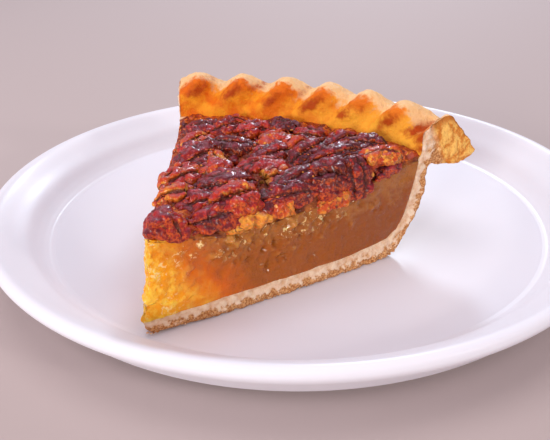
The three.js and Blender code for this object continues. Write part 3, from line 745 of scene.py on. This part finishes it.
# Lumps and pits of the cut face: how many, their size, how far from the tip (nearest, most common and
# farthest), the tip's stretch where they cover the whole height, the lowest height and the band above it,
# and how far they stand out or in for their size.
BUBBLE_COUNT = 260
BUBBLE_SIZE = (0.5, 1.9)
BUBBLE_RUN = (2, 30, 88)
BUBBLE_TIP = 16
BUBBLE_LOWEST = 6
BUBBLE_BAND = 22
BUBBLE_RELIEF = [0.38, -0.42]


def wet_lumps(points, radius):
    """Small rounded lumps and pits where the knife dragged the upper part of the filling."""
    rng = np.random.default_rng(17)
    total = np.zeros(len(points))
    for _ in range(BUBBLE_COUNT):
        at = rng.triangular(*BUBBLE_RUN)
        share = 1 - abs(rng.normal(0, 0.3)) if at > BUBBLE_TIP else rng.uniform(0.05, 1)
        size = rng.uniform(*BUBBLE_SIZE)
        z = BUBBLE_LOWEST + share * BUBBLE_BAND
        distance = ((radius - at) ** 2 + ((points[:, 2] - z) * rng.uniform(0.7, 1.5)) ** 2) / size**2
        total += np.exp(-distance * 1.6) * size * rng.choice(BUBBLE_RELIEF)
    return total


def make_filling(material):
    corners, faces = box_grid(FILLING_STEPS, True)
    u, v, w = corners.T
    angle = turned_by(v)
    bottom = floor_height(u * wall_radius(0)) + 0.05
    top = across(FILLING_RIGHT, FILLING_LEFT, u * wall_radius(30), angle) + 0.5
    z = bottom + (top - bottom) * w
    radius = u * (wall_radius(z) + GAP - 0.05)
    points = slice_points(radius, angle, z)
    lumps = wet_lumps(points, radius) * cut_share(v)
    swell = lumpy(points, SWELL)
    swell += TIP_LUMPS * np.exp(-radius / TIP_LUMPS_REACH) * rough(points, 3.2, 3, 33)
    points = push_cut_faces(points, v, swell + lumps)
    points[:, 0] += TIP_ROUNDING * np.exp(-radius / TIP_ROUNDING_REACH)
    points[:, 0] += 0.7 * np.exp(-radius / 5) * rough(points, 3, 3, 34)
    attributes = {"run": radius, "height": w, "wet": smooth(lumps, 0.2, 0.8)}
    filling = make_object("custard", to_plate(points), faces, material, attributes)
    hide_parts("filling")
    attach(filling, "root")


# -------------------------------- bed of the pecans
BED_STEPS = (206, 206, 22)
RUMPLES = [(0.65, 6, 2, 41), (0.6, 2.2, 3, 42)]
CHOPPED_COUNT = 330
CHOPPED_SIZE = (1.4, 4.0)
NUT_CRUMB_COUNT = 1900
NUT_CRUMB_SIZE = (0.4, 1.5)
BIT_SHARES = [0.1, 0.2, 0.3, 0.3, 0.1]  # how many of the bits have each colour, from dark to amber
BIT_OVERHANG = 1.0  # how far they may pass a cut face
GLAZE_DROP = 1.5  # how far the glaze between nuts stays below their smoothed tops
# Dark hollows in the cut face of the bed: distance from the tip, height, half length, half height, depth.
HOLLOWS = [
    (66, 31.5, 5.5, 2.4, 3.2), (83.5, 34.5, 6.5, 2.2, 3.4), (47, 30.5, 4, 1.5, 1.8), (20, 31, 3, 1.2, 1.2),
]
# The grid over the slice on which the height of the nuts is kept.
RELIEF_STEP = 1.0
RELIEF_LOW = np.array([-8.0, -64.0])
RELIEF_SHAPE = (124, 128)
RELIEF_PASSES = 3
SCATTER_RADIUS = 98


def nut_relief(nuts):
    """Smoothed height of the nuts over a grid in the slice's x and y."""
    xs = RELIEF_LOW[0] + RELIEF_STEP * np.arange(RELIEF_SHAPE[0])
    ys = RELIEF_LOW[1] + RELIEF_STEP * np.arange(RELIEF_SHAPE[1])
    grid_x, grid_y = np.meshgrid(xs, ys, indexing="ij")
    radius, angle = np.hypot(grid_x, grid_y), np.arctan2(grid_y, grid_x)
    height = layer_top(radius, np.clip(angle, RIGHT_FACE, LEFT_FACE))
    for points in nuts:
        cell = np.round((points[:, :2] - RELIEF_LOW) / RELIEF_STEP).astype(int)
        cell = np.clip(cell, 0, np.array(RELIEF_SHAPE) - 1)
        np.maximum.at(height, (cell[:, 0], cell[:, 1]), points[:, 2])
    for _ in range(RELIEF_PASSES):
        padded = np.pad(height, 1, mode="edge")
        height = sum(
            padded[1 + i : padded.shape[0] - 1 + i, 1 + j : padded.shape[1] - 1 + j]
            for i in (-1, 0, 1) for j in (-1, 0, 1)
        ) / 9
    return height


def read_relief(relief, points):
    """The smoothed height of the nuts at points."""
    at = np.clip((points[:, :2] - RELIEF_LOW) / RELIEF_STEP, 0, np.array(RELIEF_SHAPE) - 1.001)
    cell = at.astype(int)
    s, t = (at - cell).T
    i, j = cell.T
    low = relief[i, j] * (1 - t) + relief[i, j + 1] * t
    high = relief[i + 1, j] * (1 - t) + relief[i + 1, j + 1] * t
    return low * (1 - s) + high * s


def sunk_share(relief, points):
    """How far down between the nuts each point lies, from 0 to 1, and 0 where it shows at a cut: how much
    painted shade the materials put there.
    """
    below = smooth(read_relief(relief, points) - points[:, 2], 0.3, 2.4)
    return below * smooth(-cut_distance(points), 0.5, 4)


def bed_surface(relief):
    """The glaze: it climbs between the nuts, hangs over the cuts and is torn there."""
    corners, faces = box_grid(BED_STEPS, True)
    u, v, w = corners.T
    angle = turned_by(v)
    at_radius = u * wall_radius(36)
    bottom = across(FILLING_RIGHT, FILLING_LEFT, u * wall_radius(30), angle)
    flat = slice_points(at_radius, angle, bottom)
    glaze = np.maximum(0, read_relief(relief, flat) - GLAZE_DROP - layer_top(at_radius, angle))
    top = layer_top(at_radius, angle) + glaze + lumpy(flat, RUMPLES)
    z = bottom + (top - bottom) * w
    radius = u * (wall_radius(z) + GAP)
    points = slice_points(radius, angle, z)
    torn = 0.8 * rough(points, 3.4, 3, 43) - 0.5
    z = z - PECAN_DROOP * 0.7 * w * smooth(-cut_distance(points), 4, 0)
    points[:, 2] = z
    for at, height, half_length, half_height, depth in HOLLOWS:
        near = ((at_radius - at) / half_length) ** 2 + ((z - height) / half_height) ** 2
        torn -= np.where(v == 0, depth * np.exp(-near), 0)
    points = push_cut_faces(points, v, torn)
    points[:, 0] += TIP_ROUNDING * np.exp(-radius / TIP_ROUNDING_REACH)
    return points, faces, {"cut": cut_share(v) * (w < 1), "low": sunk_share(relief, points)}


def lump(rng, size, sides):
    """A broken crumb: a rounded block, stretched and turned at random."""
    corners, faces = box_grid((sides, sides, sides))
    block = corners * 2 - 1
    block = block / np.maximum(np.linalg.norm(block, axis=1, keepdims=True), 0.7)
    block = block * (1 + 0.16 * rough(block * 2 + rng.uniform(0, 90, 3), 1.1, 2)[:, None])
    block = block * size / 2 * rng.uniform([0.9, 0.7, 0.5], [1.5, 1.0, 0.8])
    turn = Matrix.Rotation(rng.uniform(0, 6.28), 3, "Z") @ Matrix.Rotation(rng.uniform(-0.7, 0.7), 3, "X")
    return block @ np.array(turn).T, faces


def scattered(rng, count, sizes, sides, height_at):
    """Crumbs of nut over the slice, resting at the height that height_at gives for a place."""
    blocks, hues = [], []
    for _ in range(count):
        size = rng.uniform(*sizes) * rng.uniform(0.6, 1)
        radius = math.sqrt(rng.uniform(0.0005, 0.98)) * SCATTER_RADIUS
        angle = rng.uniform(RIGHT_FACE, LEFT_FACE) * 0.985
        place = slice_points(np.array([radius]), np.array([angle]), np.array([0.0]))
        place[0, 2] = height_at(place, radius, angle)
        block, block_faces = lump(rng, size, sides)
        blocks.append((block + place, block_faces))
        hues.append(np.full(len(block), rng.choice([DARK, PLUM, RED, RUST, AMBER], p=BIT_SHARES)))
    points, faces = join(blocks)
    return press_to_cut(points, BIT_OVERHANG), faces, np.concatenate(hues)


def cut_distance(points):
    """How far points lie outside the nearer cut face, less than 0 inside the slice."""
    return np.max([points @ normal for _, normal in CUT_SIDES], 0)


def fit_to_cut(points, overhang):
    """Draws back the side of a nut that would pass a cut face, so that it stands out by the overhang."""
    for _, normal in CUT_SIDES:
        beyond = points @ normal + PECAN_SQUEEZE
        reach, room = beyond.max(), overhang + PECAN_SQUEEZE
        if reach > room:
            share = np.clip(beyond, 0, None) / reach
            drawn = (1 - room / reach) * share * np.clip(beyond, 0, None)
            points = points - drawn[:, None] * normal
            points[:, 2] -= PECAN_DROOP * share**3
    return points


def press_to_cut(points, overhang):
    """Squeezes what would pass the two cut faces into an edge that hangs a little way over them."""
    ragged = overhang + 0.7 * rough(points, 3.5, 2, 51)
    for _, normal in CUT_SIDES:
        beyond = points @ normal + CRUMB_SQUEEZE
        room = ragged + CRUMB_SQUEEZE
        pressed = np.where(beyond > 0, room * np.tanh(beyond / room), beyond)
        points = points + (pressed - beyond)[:, None] * normal
        points[:, 2] -= PECAN_DROOP * smooth(beyond / room, 0, 1.3) ** 2
    return points


def make_bed(material, nut_material, relief):
    points, faces, attributes = bed_surface(relief)
    bed = make_object("glazed_bed", to_plate(points), faces, material, attributes)
    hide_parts("pecan_bed")
    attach(bed, "root")

    rng = np.random.default_rng(5)

    def in_the_bed(place, radius, angle):
        return float(layer_top(radius, angle)) + rng.uniform(-0.2, 1.6)

    def on_top(place, radius, angle):
        return float(read_relief(relief, place)[0]) - rng.uniform(0.2, 1.5)

    for name, count, sizes, sides, height_at in (
        ("chopped_pecans", CHOPPED_COUNT, CHOPPED_SIZE, 6, in_the_bed),
        ("nut_crumbs", NUT_CRUMB_COUNT, NUT_CRUMB_SIZE, 3, on_top),
    ):
        points, faces, hue = scattered(rng, count, sizes, sides, height_at)
        attributes = {
            "hue": hue, "flesh": np.zeros(len(points)), "crease": np.zeros(len(points)),
            "up": upward(points, faces), "low": sunk_share(relief, points),
        }
        bits = make_object(name, to_plate(points), faces, nut_material, attributes)
        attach(bits, "root")


# -------------------------------- pecans
PECAN_RINGS = 84
PECAN_SIDES = 72
NUT_FOLDS = 1.3  # height of the crinkles of the skin
NUT_GRAIN = 0.25  # height of the finer grain on them
NUT_STRIDE = 37.0  # shifts each nut to a stretch of the noise of its own


def upward(points, faces):
    """How far up each point of a piece faces, from -1 to 1."""
    return vertex_normals(points, faces)[:, 2]


def pecan_section(turn, grooves):
    """Reach of a nut's cross-section in each direction, in degrees, and how deep in a crease it is."""
    def dent(at, width):
        return np.exp(-(((turn - at) / width) ** 2))

    if grooves == 2:
        crease = dent(62, 8) + dent(118, 8)
        reach = 1 - 0.28 * crease
    else:
        crease = dent(90, 10)
        reach = 1.04 - 0.5 * crease
    under = smooth(turn, 180, 215) * (1 - smooth(turn, 325, 360))
    return reach * (1 - 0.38 * under) - 0.2 * dent(270, 16), crease


def pecan_mesh(number, nut):
    """Points of a nut in the slice's frame, its triangles, creases and bare flesh."""
    length, width, thickness = nut["size"]
    start, end = nut["span"]
    seed = 100 + 10 * number
    t = start + (end - start) * (np.sin(np.linspace(-np.pi / 2, np.pi / 2, PECAN_RINGS)) + 1) / 2
    turns = np.linspace(0, 2 * np.pi, PECAN_SIDES, endpoint=False)
    outline = np.abs(t) ** (PECAN_FULLNESS + PECAN_BLUNT * np.sign(t))
    taper = np.sqrt(np.maximum(0.0, 1 - outline))
    taper[[0, -1]] = 0
    along_t, around = (a.reshape(-1) for a in np.meshgrid(t, turns, indexing="ij"))
    wide = np.repeat(taper, PECAN_SIDES)
    rest = np.stack([along_t * length / 2, np.cos(around) * width / 2, np.sin(around) * thickness / 2], 1)
    rest = rest + number * NUT_STRIDE
    wander = np.degrees(around) + 7 * noise(rest * [1, 0, 0] + number, 6, seed + 3)
    reach, crease = pecan_section(np.mod(wander, 360), nut["grooves"])
    wrinkle = 0.12 * rough(rest * [0.7, 1, 1], 4.5, 2, seed)
    wrinkle += 0.05 * rough(rest * [1.4, 1, 1], 1.9, 3, seed + 4)
    scale = reach * wide * (1 + wrinkle)
    bend = 0.05 * width * (along_t**2) * noise(rest * 0 + seed, 3, 5)
    points = np.stack([
        along_t * length / 2 + 0.8 * rough(rest, 4, 2, seed + 7),
        np.cos(around) * scale * width / 2 + bend,
        np.sin(around) * scale * thickness * PECAN_BACK - 0.05 * length * along_t**2 + 0.02 * length,
    ], 1)
    grid = np.arange(PECAN_RINGS * PECAN_SIDES).reshape(PECAN_RINGS, PECAN_SIDES)
    after = np.roll(grid, -1, 1)
    quads = np.stack([grid[:-1], grid[1:], after[1:], after[:-1]], -1).reshape(-1, 4)
    faces = np.concatenate([quads[:, [0, 2, 1]], quads[:, [0, 3, 2]]])
    broken = np.zeros(PECAN_RINGS)
    broken[:2] = start > -1
    broken[-2:] = end < 1
    yaw, pitch, roll = (math.radians(a) for a in nut["turn"])
    spin = Matrix.Rotation(yaw, 3, "Z") @ Matrix.Rotation(-pitch, 3, "Y") @ Matrix.Rotation(roll, 3, "X")
    points = points @ np.array(spin).T
    x, y, top = nut["place"]
    rise = points[:, 2].max() if abs(nut["turn"][1]) > PECAN_STEEP else thickness * PECAN_BACK
    points = fit_to_cut(points + [x, y, top - rise], nut["out"])
    folds = np.abs(rough(points, 3.4, 2, seed + 11))
    grain = NUT_FOLDS * (folds - 0.2) + NUT_GRAIN * rough(points, 1.5, 2, seed + 9)
    points = points + grain[:, None] * vertex_normals(points, faces)
    crease = crease + np.maximum(0, -3 * wrinkle) + 0.7 * smooth(folds, 0.09, 0)
    return points, faces, crease, np.repeat(broken, PECAN_SIDES)


def make_pecans(material):
    """Also gives the relief of the nuts, for the glaze to climb on."""
    meshes = [pecan_mesh(number, nut) for number, nut in enumerate(PECANS, 1)]
    relief = nut_relief([points for points, *_ in meshes])
    for number, (nut, (points, faces, crease, flesh)) in enumerate(zip(PECANS, meshes), 1):
        attributes = {
            "hue": np.full(len(points), nut["hue"]), "crease": crease, "flesh": flesh,
            "up": upward(points, faces), "low": sunk_share(relief, points),
        }
        name = f"pecan_{number:02d}"
        pecan_half = make_object(f"{name}_half", to_plate(points), faces, material, attributes)
        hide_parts(name)
        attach(pecan_half, "root")
    return relief


# -------------------------------- stage
CAMERA_ELEVATION = math.radians(27.09)
CAMERA_DISTANCE = 295.03
CAMERA_TARGET = (0.92, 5.41, 0)
CAMERA_LENS = 45
CAMERA_SHIFT = -0.0482
FLOOR_REACH = 3000.0
WORLD_COLOUR = (0.97, 0.88, 0.94, 1)
WORLD_STRENGTH = 0.52
LIGHT_TARGET = (0, 0, 0.02)
# The lights' names, places and sizes in metres, power in watts and colours.
LIGHTS = [
    ("window", (0.14, 1.1, 0.7), (0.18, 0.14), 5.8, (0.72, 0.87, 1.0)),
    ("above", (-0.1, 0.1, 1.15), (0.8, 0.8), 4.3, (1.0, 0.94, 0.97)),
    ("front", (-0.5, -1.0, 0.3), (0.3, 0.25), 6.3, (1.0, 0.98, 0.95)),
    ("left", (-1.05, -0.3, 0.4), (0.4, 0.3), 2.4, (1.0, 0.97, 0.97)),
    ("glint", (0.85, -0.65, 0.45), (0.1, 0.1), 2.0, (1.0, 0.98, 0.95)),
]


def area_light(name, place, size, power, colour):
    data = bpy.data.lights.new(name, "AREA")
    data.shape = "RECTANGLE"
    data.size, data.size_y = size
    data.energy = power
    data.color = colour
    lamp = bpy.data.objects.new(name, data)
    bpy.context.scene.collection.objects.link(lamp)
    lamp.location = place
    lamp.rotation_euler = (Vector(LIGHT_TARGET) - Vector(place)).to_track_quat("-Z", "Y").to_euler()


def make_stage():
    scene = bpy.context.scene
    back = Vector((0, -math.cos(CAMERA_ELEVATION), math.sin(CAMERA_ELEVATION)))
    data = bpy.data.cameras.new("camera")
    data.lens = CAMERA_LENS
    data.sensor_width = 36
    data.shift_x = CAMERA_SHIFT
    data.clip_start = 0.01
    camera = bpy.data.objects.new("camera", data)
    scene.collection.objects.link(camera)
    camera.location = (Vector(CAMERA_TARGET) + back * CAMERA_DISTANCE) * MM
    camera.rotation_euler = (-back).to_track_quat("-Z", "Y").to_euler()
    scene.camera = camera

    corners = FLOOR_REACH * np.array([[-1, -1, 0], [1, -1, 0], [1, 1, 0], [-1, 1, 0]])
    floor = make_object("floor", corners, np.array([[0, 1, 2, 3]]), floor_material())

    world = bpy.data.worlds.new("studio")
    world.use_nodes = True
    background = world.node_tree.nodes["Background"]
    background.inputs["Color"].default_value = WORLD_COLOUR
    background.inputs["Strength"].default_value = WORLD_STRENGTH
    scene.world = world
    for light in LIGHTS:
        area_light(*light)
    scene.view_settings.view_transform = "Standard"
    scene.view_settings.look = "None"


make_stage()
make_plate(plate_material())
make_crust(crust_material())
make_filling(filling_material())
nut_skin = pecan_material()
nut_tops = make_pecans(nut_skin)
make_bed(bed_material(), nut_skin, nut_tops)
